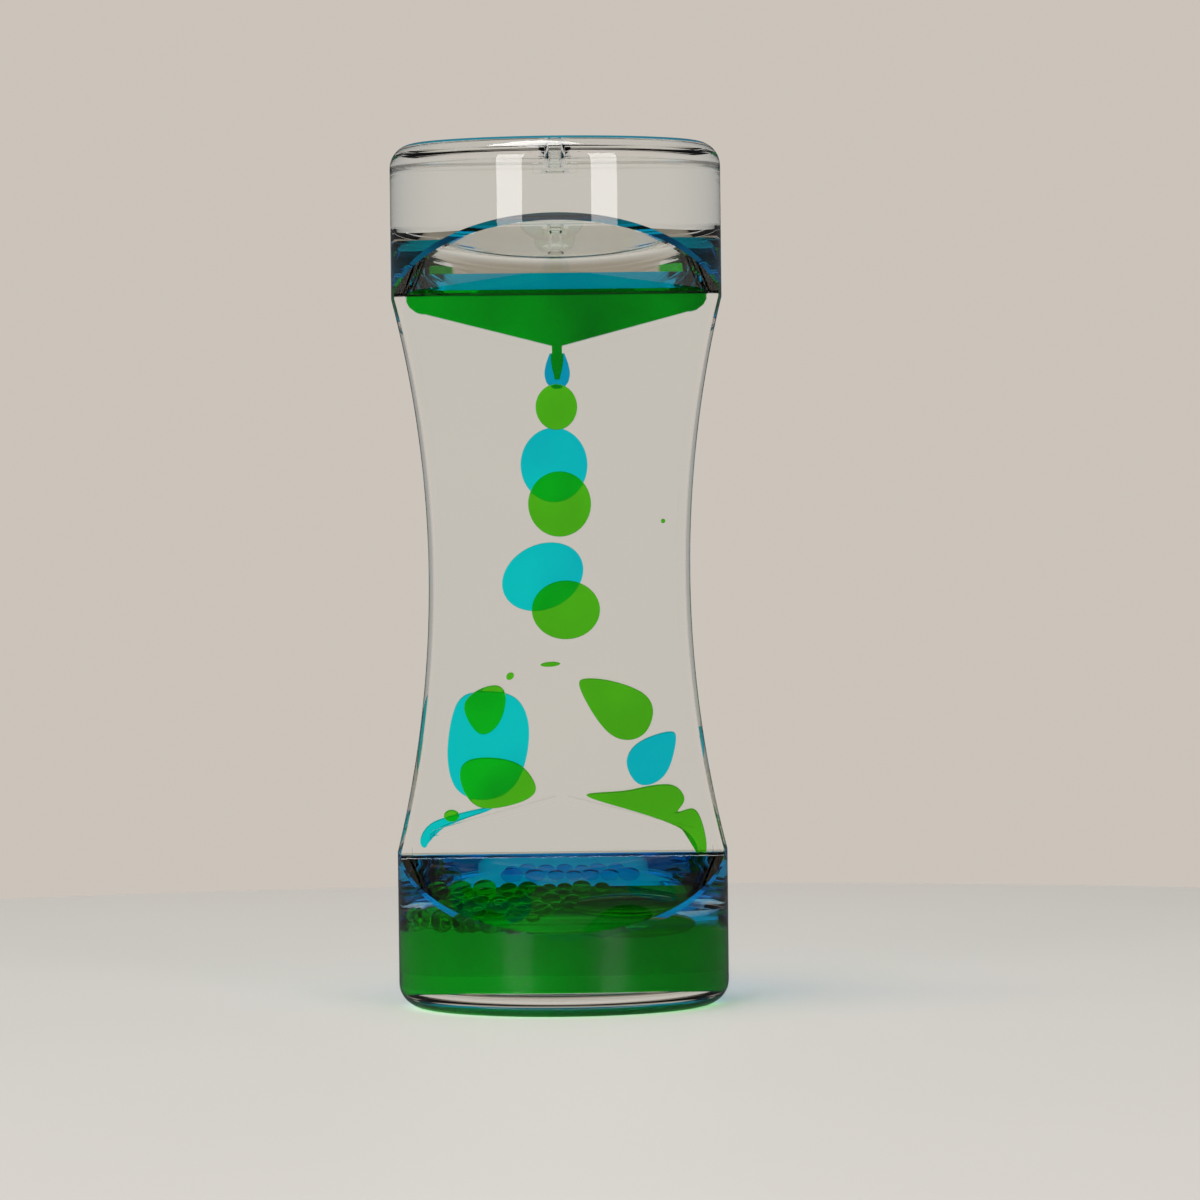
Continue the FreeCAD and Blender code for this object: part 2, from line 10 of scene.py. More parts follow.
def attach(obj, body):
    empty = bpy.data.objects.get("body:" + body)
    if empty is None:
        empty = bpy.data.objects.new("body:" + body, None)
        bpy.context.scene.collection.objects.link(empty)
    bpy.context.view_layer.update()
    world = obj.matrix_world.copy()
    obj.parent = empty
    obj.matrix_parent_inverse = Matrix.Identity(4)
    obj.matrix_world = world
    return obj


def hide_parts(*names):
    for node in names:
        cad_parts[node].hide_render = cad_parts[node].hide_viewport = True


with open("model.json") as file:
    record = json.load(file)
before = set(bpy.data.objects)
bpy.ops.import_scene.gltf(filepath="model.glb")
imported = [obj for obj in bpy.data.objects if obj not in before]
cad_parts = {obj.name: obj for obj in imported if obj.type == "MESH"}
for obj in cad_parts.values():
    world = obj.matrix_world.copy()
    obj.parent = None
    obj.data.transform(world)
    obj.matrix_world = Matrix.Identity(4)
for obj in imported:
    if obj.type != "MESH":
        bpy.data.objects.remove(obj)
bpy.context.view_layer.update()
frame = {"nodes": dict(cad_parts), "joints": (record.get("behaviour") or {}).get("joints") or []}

mm = 0.001

# the vessel, in millimetres and degrees, as it is moulded
vessel = dict(
    height=143.5, endRadius=27.5, rimRadius=4.0, waistHalf=21.8, waistReach=46.0,
    flatHalf=6.0, archReach=57.9, shoulder=27.5, blendRadius=0.6, footRadius=22.0, footDepth=0.8,
    sideWall=2.3, windowWall=2.2, roofWall=2.6, roofDraft=3.0,
    clear=5.0,
)
divider = dict(half=0.57, rebateHalf=0.6, rebateDepth=1.0, clearance=0.15)
rib = dict(reach=37.9, angle=14.6, thickness=1.0, halfSpan=22.0, nozzleHalf=0.95)
fill = dict(offset=12.5, holeRadius=1.4, holeClear=1.0, bossRadius=2.2, bossDrop=1.7, bossRoot=0.5)
pool = dict(
    film=0.12, greenLower=14.0, blueLower=14.6, browWidth=4.0, browDrop=1.8, crease=50,
    bank=23.2, bankEnd=[(0, 0), (1.2, 0.9), (1.9, 2.2)],
    greenBrow=[(25.0, 119.2), (24.3, 119.9), (23.0, 120.3)],
    blueCrown=[(26.5, 124.2), (25.0, 124.8), (24.2, 126.0), (23.0, 127.0), (21.0, 127.5), (13.0, 127.5)],
)
# how finely round forms are drawn, and the distances in metres within which points become one
facets = dict(turn=144, post=48, waist=40, waistCut=60, blend=12, rim=10, oval=12)
tolerance = dict(turn=0.00001, weld=0.000002, cut=0.000001)
mid = vessel["height"] / 2
sagitta = vessel["endRadius"] - vessel["waistHalf"]
waistRadius = (vessel["waistReach"] ** 2 + sagitta ** 2) / (2 * sagitta)
chamberDepth = vessel["flatHalf"] - vessel["windowWall"] - divider["rebateHalf"]
beyond = vessel["endRadius"] + vessel["clear"]


def lampsPass(nodes, links, surface, tint):
    # lamps shine through clear things, tinted, so that the light reaches what stands behind them
    path = nodes.new("ShaderNodeLightPath")
    letThrough = nodes.new("ShaderNodeBsdfTransparent")
    letThrough.inputs["Color"].default_value = (*tint, 1)
    mix = nodes.new("ShaderNodeMixShader")
    links.new(path.outputs["Is Shadow Ray"], mix.inputs["Fac"])
    links.new(surface.outputs[0], mix.inputs[1])
    links.new(letThrough.outputs[0], mix.inputs[2])
    return mix


def emptyMaterial(name):
    material = bpy.data.materials.new(name)
    material.use_nodes = True
    material.node_tree.nodes.clear()
    return material, material.node_tree.nodes, material.node_tree.links


def clearMaterial(name, color, deeper, ior, shadow, patchScale, drift=0.0, ripple=0.0):
    # clear plastic or dyed liquid: the colour wanders between two tones in patches, and from left to right
    # by the drift; ior is the bend of light against what lies next to it
    material, nodes, links = emptyMaterial(name)
    place = nodes.new("ShaderNodeTexCoord")
    patches = nodes.new("ShaderNodeTexNoise")
    patches.inputs["Scale"].default_value = patchScale
    patches.inputs["Detail"].default_value = 2
    tone = nodes.new("ShaderNodeValToRGB")
    tone.color_ramp.elements[0].position = 0.35
    tone.color_ramp.elements[0].color = (*color, 1)
    tone.color_ramp.elements[1].position = 0.65
    tone.color_ramp.elements[1].color = (*deeper, 1)
    surface = nodes.new("ShaderNodeBsdfPrincipled")
    surface.inputs["Transmission Weight"].default_value = 1
    surface.inputs["IOR"].default_value = ior
    surface.inputs["Roughness"].default_value = 0
    split = nodes.new("ShaderNodeSeparateXYZ")
    across = nodes.new("ShaderNodeMath")
    across.operation = "MULTIPLY_ADD"
    across.inputs[1].default_value = drift
    links.new(place.outputs["Object"], patches.inputs["Vector"])
    links.new(place.outputs["Object"], split.inputs[0])
    links.new(split.outputs["X"], across.inputs[0])
    links.new(patches.outputs["Fac"], across.inputs[2])
    links.new(across.outputs[0], tone.inputs["Fac"])
    links.new(tone.outputs["Color"], surface.inputs["Base Color"])
    if ripple:
        waves = nodes.new("ShaderNodeTexNoise")
        waves.inputs["Scale"].default_value = 45  # a wave about every 22 mm
        bump = nodes.new("ShaderNodeBump")
        bump.inputs["Strength"].default_value = ripple
        bump.inputs["Distance"].default_value = 0.4 * mm
        links.new(place.outputs["Object"], waves.inputs["Vector"])
        links.new(waves.outputs["Fac"], bump.inputs["Height"])
        links.new(bump.outputs["Normal"], surface.inputs["Normal"])
    mix = lampsPass(nodes, links, surface, shadow)
    output = nodes.new("ShaderNodeOutputMaterial")
    links.new(mix.outputs[0], output.inputs["Surface"])
    return material


def seamMaterial(name):
    # the bonded faces of the two shells can't be seen
    material, nodes, links = emptyMaterial(name)
    bonded = nodes.new("ShaderNodeBsdfTransparent")
    output = nodes.new("ShaderNodeOutputMaterial")
    links.new(bonded.outputs[0], output.inputs["Surface"])
    return material


# each with two tones, the bend of light, the tint of the light it lets through, and the scale of its patches
polishedPlastic = clearMaterial(
    "polishedPlastic", (0.985, 0.995, 0.992), (0.965, 0.985, 0.982), 1.5, (0.9, 0.93, 0.93), 30, ripple=0.05
)
oilWetWall = clearMaterial(
    "oilWetWall", (0.995, 1, 0.998), (0.985, 0.995, 0.995), 1.06, (0.97, 0.98, 0.98), 30
)
dividerSheet = clearMaterial("dividerSheet", (0.99, 1, 1), (0.98, 0.99, 0.99), 1.03, (0.96, 0.98, 0.98), 20)
bondedSeam = seamMaterial("bondedSeam")
greenDrop = clearMaterial(
    "greenDrop", (0.13, 0.82, 0.015), (0.10, 0.64, 0.012), 1.07, (0.5, 0.9, 0.45), 60, drift=9
)
blueDrop = clearMaterial(
    "blueDrop", (0.0, 0.92, 1.0), (0.0, 0.74, 0.94), 1.07, (0.5, 0.85, 0.95), 60, drift=9
)
greenPool = clearMaterial(
    "greenPool", (0.01, 0.90, 0.015), (0.01, 0.52, 0.01), 1.05, (0.5, 0.78, 0.5), 40, drift=11
)
bluePool = clearMaterial(
    "bluePool", (0.0, 0.58, 0.90), (0.0, 0.46, 0.82), 1.05, (0.35, 0.6, 0.9), 40, drift=8
)
greenBubble = clearMaterial("greenBubble", (0.14, 0.86, 0.05), (0.06, 0.70, 0.03), 1.14, (0.4, 0.8, 0.4), 200)
blueBubble = clearMaterial("blueBubble", (0.06, 0.72, 0.97), (0.01, 0.58, 0.92), 1.14, (0.4, 0.7, 0.95), 200)
print("materials made")


def arcPoints(centre, radius, start, end, steps):
    turns = [math.radians(start + (end - start) * step / steps) for step in range(steps + 1)]
    return [(centre[0] + radius * math.cos(turn), centre[1] + radius * math.sin(turn)) for turn in turns]


def newObject(name, bm, materials=()):
    mesh = bpy.data.meshes.new(name)
    bm.to_mesh(mesh)
    bm.free()
    made = bpy.data.objects.new(name, mesh)
    bpy.context.scene.collection.objects.link(made)
    for material in materials:
        mesh.materials.append(material)
    return made


def prism(name, points, axis, low, high, slot=0):
    # a flat outline drawn out along X or Y, as a closed solid
    def placed(across, height, along):
        return Vector((along, across, height) if axis == "X" else (across, along, height)) * mm
    bm = bmesh.new()
    corners = [bm.verts.new(placed(across, height, low)) for across, height in points]
    face = bm.faces.new(corners)
    grown = bmesh.ops.extrude_face_region(bm, geom=[face])
    moved = [item for item in grown["geom"] if isinstance(item, bmesh.types.BMVert)]
    bmesh.ops.translate(bm, verts=moved, vec=placed(0, 0, high) - placed(0, 0, low))
    bmesh.ops.recalc_face_normals(bm, faces=bm.faces)
    for face in bm.faces:
        face.material_index = slot
    return newObject(name, bm)


def turned(name, profile, slot=0, steps=facets["turn"]):
    # a profile of (distance from the axis, height) spun into a closed solid
    bm = bmesh.new()
    corners = [bm.verts.new(Vector((across, 0, height)) * mm) for across, height in profile]
    edges = [bm.edges.new(pair) for pair in zip(corners, corners[1:])]
    bmesh.ops.spin(
        bm, geom=corners + edges, cent=(0, 0, 0), axis=(0, 0, 1), dvec=(0, 0, 0),
        angle=math.tau, steps=steps, use_merge=True,
    )
    bmesh.ops.remove_doubles(bm, verts=bm.verts, dist=tolerance["turn"])
    bmesh.ops.recalc_face_normals(bm, faces=bm.faces)
    for face in bm.faces:
        face.material_index = slot
    return newObject(name, bm)


def finished(made):
    # the mesh with its modifiers applied
    bpy.context.view_layer.update()
    shaped = bpy.data.meshes.new_from_object(made.evaluated_get(bpy.context.evaluated_depsgraph_get()))
    made.modifiers.clear()
    made.data = shaped
    return made


def combine(base, tool, operation):
    # the base changed by the tool, which is used up
    change = base.modifiers.new("combine", "BOOLEAN")
    change.operation = operation
    change.solver = "EXACT"
    change.object = tool
    finished(base)
    bpy.data.objects.remove(tool)


def halved(made, side, gap, slot):
    # keep the part in front (-1) or behind (1) of the middle plane, closed by a flat face
    bm = bmesh.new()
    bm.from_mesh(made.data)
    cut = bmesh.ops.bisect_plane(
        bm, geom=bm.verts[:] + bm.edges[:] + bm.faces[:], dist=tolerance["cut"],
        plane_co=(0, side * gap * mm, 0), plane_no=(0, -side, 0), clear_outer=True,
    )
    rim = [item for item in cut["geom_cut"] if isinstance(item, bmesh.types.BMEdge)]
    filled = bmesh.ops.triangle_fill(bm, edges=rim, use_beauty=True, use_dissolve=True)
    for item in filled["geom"]:
        if isinstance(item, bmesh.types.BMFace):
            item.material_index = slot
    bmesh.ops.recalc_face_normals(bm, faces=bm.faces)
    bm.to_mesh(made.data)
    bm.free()


def waistLine(middle):
    # the waist's arc at the right, from its lower end to its upper one
    spread = math.degrees(math.asin(vessel["waistReach"] / waistRadius))
    centre = (middle + waistRadius, mid)
    return arcPoints(centre, waistRadius, 180 + spread, 180 - spread, facets["waist"])


def windowLine(inset):
    # side view of the window, its blends and its slanted shoulders, as (y, z) in front, from the bottom up
    turn = vessel["shoulder"]
    slope = math.radians(turn)
    face = vessel["flatHalf"] - inset
    blend = vessel["blendRadius"] + inset
    arch = vessel["archReach"] + inset / math.cos(slope)
    crease = arch - (vessel["endRadius"] - face) * math.tan(slope)
    flat = crease - blend * math.tan(math.radians((90 - turn) / 2))
    brim = arch + vessel["clear"] * math.tan(slope)
    upper = arcPoints((-face - blend, mid + flat), blend, 0, 90 - turn, facets["blend"])
    lower = [(across, 2 * mid - height) for across, height in reversed(upper)]
    return [(-beyond, mid - brim)] + lower + upper + [(-beyond, mid + brim)]


def cutWindows(base, inset, sides, slot=0):
    # cut along the window line, in front (-1), behind (1) or both
    for side in sides:
        line = [(across * -side, height) for across, height in windowLine(inset)]
        combine(base, prism("windowCutter", line, "X", -2 * beyond, 2 * beyond, slot), "DIFFERENCE")
    return base


def outerForm(name):
    # the outside of the whole vessel: rimmed ends with a recess under each, a hollow waist and two windows
    foot, rim, top = vessel["footRadius"], vessel["rimRadius"], vessel["height"]
    lower = [(0, vessel["footDepth"]), (foot, vessel["footDepth"]), (foot + vessel["footDepth"], 0)]
    lower += arcPoints((vessel["endRadius"] - rim, rim), rim, -90, 0, facets["rim"])
    waist = waistLine(vessel["waistHalf"])
    upper = [(across, top - height) for across, height in reversed(lower)]
    return cutWindows(turned(name, lower + waist + upper), 0, (-1, 1))


def waistCutter(inset, side, slot):
    # what lies outside the waist at one side, so far in as the inset says
    middle = vessel["waistHalf"] - inset
    bulge = beyond - middle
    spread = math.degrees(math.acos((waistRadius - bulge) / waistRadius))
    centre = (middle + waistRadius, mid)
    arc = arcPoints(centre, waistRadius, 180 + spread, 180 - spread, facets["waistCut"])
    corners = [(across * side, height) for across, height in arc]
    return prism("waistCutter", corners, "Y", -beyond, beyond, slot)


def ribCorners(sideX, sideZ, film):
    # one funnel rib seen from the front, thicker all round by the film
    slope = math.radians(rib["angle"])
    skin = film / math.cos(slope)
    inner, outer = rib["nozzleHalf"] - film, rib["halfSpan"] + film
    bottom = rib["reach"] + skin - film * math.tan(slope)
    climb = (rib["halfSpan"] - rib["nozzleHalf"] + 2 * film) * math.tan(slope)
    thick = rib["thickness"] / math.cos(slope) + 2 * skin
    return [
        (sideX * inner, mid + sideZ * (bottom - thick)),
        (sideX * outer, mid + sideZ * (bottom + climb - thick)),
        (sideX * outer, mid + sideZ * (bottom + climb)),
        (sideX * inner, mid + sideZ * bottom),
    ]


def chamberForm(name, film, slot=0):
    # hollow of the front shell: round ends, waist, window, drafted end plates, and gaps where the ribs stand
    wall, roof, top = vessel["sideWall"] + film, vessel["roofWall"] + film, vessel["height"]
    radius = vessel["endRadius"] - wall
    hollow = turned(name, [(0, roof), (radius, roof), (radius, top - roof), (0, top - roof)], slot)
    halved(hollow, -1, divider["rebateHalf"] + film, slot)
    for side in (-1, 1):
        combine(hollow, waistCutter(wall, side, slot), "DIFFERENCE")
    cutWindows(hollow, vessel["windowWall"] + film, (-1,), slot)
    drafted = roof + beyond * math.tan(math.radians(vessel["roofDraft"]))
    wedge = [(0, roof), (-beyond, drafted), (-beyond, -vessel["clear"]), (0, -vessel["clear"])]
    lid = [(across, top - height) for across, height in wedge]
    for corners in (wedge, lid):
        combine(hollow, prism("draftCutter", corners, "X", -beyond, beyond, slot), "DIFFERENCE")
    for sideX in (-1, 1):
        for sideZ in (-1, 1):
            strip = prism("ribCutter", ribCorners(sideX, sideZ, film), "Y", -beyond, beyond, slot)
            combine(hollow, strip, "DIFFERENCE")
    return hollow


def plateOutline(inset, edge):
    # front view of the vessel, drawn in at the sides and at the ends
    side = vessel["endRadius"] - inset
    waist = waistLine(vessel["waistHalf"] - inset)
    right = [(side, edge)] + waist + [(side, vessel["height"] - edge)]
    return right + [(-across, height) for across, height in reversed(right)]


def smoothed(made, angle=32):
    # round faces shade smoothly, flat faces stay flat
    bm = bmesh.new()
    bm.from_mesh(made.data)
    bmesh.ops.remove_doubles(bm, verts=bm.verts, dist=tolerance["weld"])
    bmesh.ops.dissolve_degenerate(bm, edges=bm.edges, dist=tolerance["weld"])
    for face in bm.faces:
        face.smooth = True
    for edge in bm.edges:
        edge.smooth = len(edge.link_faces) == 2 and edge.calc_face_angle(0) < math.radians(angle)
    bm.to_mesh(made.data)
    bm.free()
    weigh = made.modifiers.new("weigh", "WEIGHTED_NORMAL")
    weigh.keep_sharp = True
    weigh.weight = 100
    return finished(made)


def fillPost(name, radius, low, high, slot):
    # an upright post on the axis of the fill hole
    post = turned(name, [(0, low), (radius, low), (radius, high), (0, high)], slot, facets["post"])
    post.data.transform(Matrix.Translation((0, -fill["offset"] * mm, 0)))
    return post


def moulding(name):
    # one half of the vessel, with its chamber, the divider's rebate, the fill boss and the fill hole;
    # slot 0 is the polished outside, 1 the wall against the oil, 2 the bonded face
    shell = outerForm(name)
    for face in shell.data.polygons:
        face.material_index = 0
    halved(shell, -1, 0, 2)
    for material in (polishedPlastic, oilWetWall, bondedSeam):
        shell.data.materials.append(material)
    combine(shell, chamberForm("chamberCutter", 0, 1), "DIFFERENCE")
    inset = vessel["sideWall"] - divider["rebateDepth"]
    edge = vessel["roofWall"] - divider["rebateDepth"]
    half = divider["rebateHalf"]
    combine(shell, prism("rebateCutter", plateOutline(inset, edge), "Y", -half, half, 1), "DIFFERENCE")
    top = vessel["height"]
    draft = fill["offset"] * math.tan(math.radians(vessel["roofDraft"]))
    foot = top - vessel["roofWall"] - draft - fill["bossDrop"]
    root = top - vessel["footDepth"] - fill["bossRoot"]
    combine(shell, fillPost("boss", fill["bossRadius"], foot, root, 1), "UNION")
    low, high = foot - fill["holeClear"], top + fill["holeClear"]
    combine(shell, fillPost("hole", fill["holeRadius"], low, high, 0), "DIFFERENCE")
    return shell


def turnedCopy(made, name):
    # the rear half is the same moulding, turned half way round
    mesh = made.data.copy()
    mesh.name = name
    mesh.transform(Matrix.Rotation(math.pi, 4, "Z"))
    copy = bpy.data.objects.new(name, mesh)
    bpy.context.scene.collection.objects.link(copy)
    return copy


def stand(piece, body, slot, *nodes):
    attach(piece, body)
    if nodes:
        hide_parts(*nodes)


frontShell = smoothed(moulding("frontShell"))
rearShell = turnedCopy(frontShell, "rearShell")
stand(frontShell, "vessel", "clear_shell", "front_shell")
stand(rearShell, "vessel", "clear_shell", "rear_shell")
print("shells made", len(frontShell.data.polygons))


def dividerPlate():
    inset = vessel["sideWall"] - divider["rebateDepth"] + divider["clearance"]
    edge = vessel["roofWall"] - divider["rebateDepth"] + divider["clearance"]
    plate = prism("dividerPlate", plateOutline(inset, edge), "Y", -divider["half"], divider["half"])
    plate.data.materials.append(dividerSheet)
    return smoothed(plate)


stand(dividerPlate(), "vessel", "divider", "divider_plate")
for node in ("front_fill_plug", "rear_fill_plug"):
    frame["nodes"][node].data.materials.clear()
    frame["nodes"][node].data.materials.append(polishedPlastic)
print("divider and plugs made")


def brow(level):
    # the top of a lower pool at the right, where it slopes down towards the wall
    side = vessel["endRadius"]
    shoulder = side - vessel["sideWall"] - pool["browWidth"]
    edge = level - (side - shoulder) * pool["browDrop"] / pool["browWidth"]
    return [(side, edge), (shoulder, level)]


def poolBody(name, right, side, material):
    # the part of a chamber inside an outline given for its right half
    outlineRing = right + [(-across, height) for across, height in reversed(right)]
    body = chamberForm(name, pool["film"])
    combine(body, prism("poolCutter", outlineRing, "Y", -beyond, 0), "INTERSECT")
    body.data.materials.clear()
    body.data.materials.append(material)
    if side > 0:
        body.data.transform(Matrix.Rotation(math.pi, 4, "Z"))
    return smoothed(body, pool["crease"])


def upperPool(name, top, neck, side, material):
    # from what hangs under the nozzle, along the rib and round the bank, to the top
    nozzle = mid + rib["reach"]
    right = [(neck["halfWidth"] * x, nozzle - neck["length"] * z) for x, z in reversed(neck["shares"])]
    right.append((rib["nozzleHalf"] - pool["film"], nozzle))
    bank = pool["bank"]
    run = bank - rib["nozzleHalf"]
    foot = nozzle + run * math.tan(math.radians(rib["angle"]))
    right += [(bank + x, foot + z) for x, z in pool["bankEnd"]]
    return poolBody(name, right + top, side, material)


def lowerPool(name, level, side, material):
    return poolBody(name, [(vessel["endRadius"], 0)] + brow(level), side, material)


# what hangs under each nozzle, with its outline as shares of half width and length
greenNeck = dict(halfWidth=1.04, length=5.5, shares=[
    (0.9, 0.12), (1.0, 0.3), (1.0, 0.44), (0.82, 0.66), (0.55, 0.86), (0.42, 1.0),
])
bluePendant = dict(halfWidth=2.1, length=7.0, shares=[
    (0.5, 0.1), (0.7, 0.25), (0.9, 0.42), (1.0, 0.58), (1.0, 0.7), (0.88, 0.84), (0.6, 0.95), (0.25, 1.0),
])
greenUpper = upperPool("greenUpperPool", pool["greenBrow"], greenNeck, -1, greenPool)
stand(greenUpper, "vessel", "green_liquid", "green_upper_pool")
blueUpper = upperPool("blueUpperPool", pool["blueCrown"], bluePendant, 1, bluePool)
stand(blueUpper, "vessel", "blue_liquid", "blue_upper_pool")
greenLower = lowerPool("greenLowerPool", pool["greenLower"], -1, greenPool)
stand(greenLower, "vessel", "green_liquid", "green_lower_pool")
blueLower = lowerPool("blueLowerPool", pool["blueLower"], 1, bluePool)
stand(blueLower, "vessel", "blue_liquid", "blue_lower_pool")
print("pools made")

# drops: place across and above the base, half width and half height, tilt, and outline shares if it is no oval
drops = {
    "green_drop_top": dict(across=-0.2, height=99.6, wide=3.55, tall=3.9),
    "green_drop_middle": dict(across=0.15, height=83.5, wide=5.35, tall=5.55),
    "green_drop_low": dict(across=1.0, height=65.9, wide=5.8, tall=5.0),
    "green_sliver": dict(across=-1.7, height=56.9, wide=1.7, tall=0.45, tilt=3),
    "green_bead_left": dict(across=-8.4, height=55.0, wide=0.75, tall=0.6, tilt=40),
    "green_bead_right": dict(across=17.3, height=80.5, wide=0.4, tall=0.4),
    "green_drop_shield": dict(across=-12.8, height=49.4, wide=3.8, tall=4.5, shares=[
        (0.61, 1.0), (1.0, 0.7), (0.96, 0.07), (0.65, -0.63), (0.0, -1.0),
        (-0.48, -0.78), (-1.0, 0.07), (-0.74, 0.48), (-0.22, 0.81),
    ]),
    "green_drop_rest": dict(across=-10.6, height=37.2, wide=6.65, tall=4.4, shares=[
        (-1.0, 0.3), (-0.9, 0.8), (-0.58, 1.0), (-0.08, 1.0), (0.43, 0.85), (0.75, 0.5),
        (1.0, -0.16), (0.9, -0.5), (0.53, -0.78), (-0.08, -0.98), (-0.53, -0.96), (-0.85, -0.45),
    ]),
    "green_drop_wing": dict(across=9.06, height=49.35, wide=6.56, tall=5.48, shares=[
        (-0.9, 0.98), (-0.19, 0.92), (0.44, 0.67), (0.82, 0.42), (1.0, 0.0), (0.9, -0.52),
        (0.67, -0.88), (0.27, -1.0), (-0.11, -0.85), (-0.44, -0.42), (-0.75, 0.2), (-0.96, 0.75),
    ]),
    "green_bead_rib": dict(across=-18.4, height=31.9, wide=1.33, tall=1.05),
    "blue_drop_top": dict(across=-0.7, height=90.0, wide=5.7, tall=6.35),
    "blue_drop_middle": dict(across=-2.8, height=71.4, wide=7.2, tall=5.5, tilt=25),
    "blue_drop_column": dict(across=-12.1, height=43.2, wide=7.0, tall=9.3, shares=[
        (-0.79, 0.91), (-1.0, 0.12), (-1.0, -0.34), (-0.88, -0.7), (-0.62, -0.9), (-0.12, -1.0),
        (0.5, -0.86), (0.86, -0.43), (1.0, 0.2), (0.93, 0.59), (0.71, 0.88), (0.3, 1.0), (-0.3, 1.0),
    ]),
    "blue_drop_comma": dict(across=15.0, height=40.9, wide=4.35, tall=4.77, shares=[
        (0.85, 1.0), (1.0, 0.82), (0.88, 0.16), (0.62, -0.55), (0.1, -0.93),
        (-0.58, -1.0), (-1.0, -0.33), (-0.96, 0.16), (-0.58, 0.58), (0.15, 0.86),
    ]),
    "blue_bead_fallen": dict(across=-22.9, height=23.2, wide=1.0, tall=0.9),
}
dropClear = 0.3
dropLip = 0.5  # how far the cap of a drop is drawn in, so that its edge swells
smallLip = 0.4  # the same for a small drop, as a share of its lesser half size
runLip = 0.3  # and for what runs down a rib
ovalSwell = 1.03  # subdividing draws an oval in by as much


def pancake(name, points, side, material, lip):
    # a flat drop between window and divider: few outline points, an inner ring on each cap, then subdivided
    low = divider["rebateHalf"] + dropClear
    high = low + chamberDepth - 2 * dropClear
    bm = bmesh.new()
    corners = [bm.verts.new(Vector((across, side * low, height)) * mm) for across, height in points]
    cap = bm.faces.new(corners)
    grown = bmesh.ops.extrude_face_region(bm, geom=[cap])
    moved = [item for item in grown["geom"] if isinstance(item, bmesh.types.BMVert)]
    bmesh.ops.translate(bm, verts=moved, vec=Vector((0, side * (high - low), 0)) * mm)
    caps = [face for face in bm.faces if len(face.verts) == len(points)]
    bmesh.ops.inset_region(bm, faces=caps, thickness=lip * mm, use_even_offset=True)
    bmesh.ops.recalc_face_normals(bm, faces=bm.faces)
    for face in bm.faces:
        face.smooth = True
    drop = newObject(name, bm, [material])
    swell = drop.modifiers.new("swell", "SUBSURF")
    swell.levels = swell.render_levels = 3
    return finished(drop)


def dropPoints(sizes):
    shares = sizes.get("shares")
    if shares is None:
        turns = [math.tau * step / facets["oval"] for step in range(facets["oval"])]
        shares = [(math.cos(turn) * ovalSwell, math.sin(turn) * ovalSwell) for turn in turns]
    tilt = math.radians(sizes.get("tilt", 0))
    points = []
    for shareX, shareZ in shares:
        x, z = shareX * sizes["wide"], shareZ * sizes["tall"]
        points.append((
            sizes["across"] + x * math.cos(tilt) - z * math.sin(tilt),
            sizes["height"] + x * math.sin(tilt) + z * math.cos(tilt),
        ))
    return points


moving = {joint["child"] for joint in frame["joints"]}
for node, sizes in drops.items():
    green = node.startswith("green")
    lip = min(dropLip, min(sizes["wide"], sizes["tall"]) * smallLip)
    name = "".join(word.capitalize() if place else word for place, word in enumerate(node.split("_")))
    drop = pancake(name, dropPoints(sizes), -1 if green else 1, greenDrop if green else blueDrop, lip)
    body = node + "_body" if node + "_body" in moving else "vessel"
    stand(drop, body, "green_liquid" if green else "blue_liquid", node)
print("drops made")

# liquid that runs down the lower ribs and over their ends
stream = dict(
    height=6.2, spill=6.0, spillWidth=1.9,
    crest=[(0.07, 0.0), (0.17, 0.21), (0.44, 0.46), (0.59, 0.71), (0.75, 0.94), (0.86, 1.0),
           (0.93, 0.76), (0.92, 0.52), (0.84, 0.2), (0.95, 0.44), (1.0, 0.5)],
    over=[(0.4, -0.3), (0.85, 0.28), (0.95, 0.72), (0.4, 1.0), (0.0, 0.85), (0.0, 0.0)],
)
trickle = dict(
    height=1.2, spill=3.4, spillWidth=1.9,
    crest=[(0.47, 0.0), (0.51, 0.8), (0.7, 1.0), (0.9, 1.0), (1.0, 0.8)],
    over=[(0.5, 0.1), (0.8, 0.5), (0.75, 0.85), (0.35, 1.0), (0.0, 0.8), (0.0, 0.0)],
)


def ribTop(across):
    # height just above a lower rib
    slope = math.radians(rib["angle"])
    start = mid - rib["reach"] + rib["thickness"] / math.cos(slope) + dropClear
    return start - (across - rib["nozzleHalf"]) * math.tan(slope)


def runningLiquid(name, sizes, side, sideX, material):
    run = rib["halfSpan"] - rib["nozzleHalf"]
    end = rib["halfSpan"] + dropClear
    points = []
    for shareX, shareZ in sizes["crest"]:
        across = rib["nozzleHalf"] + shareX * run
        points.append((sideX * across, ribTop(across) + shareZ * sizes["height"]))
    for shareX, shareZ in sizes["over"]:
        points.append((sideX * (end + shareX * sizes["spillWidth"]), ribTop(end) - shareZ * sizes["spill"]))
    return pancake(name, points, side, material, runLip)


stand(runningLiquid("greenRibStream", stream, -1, 1, greenDrop), "vessel", "green_liquid", "green_rib_stream")
stand(runningLiquid("blueRibTrickle", trickle, 1, -1, blueDrop), "vessel", "blue_liquid", "blue_rib_trickle")

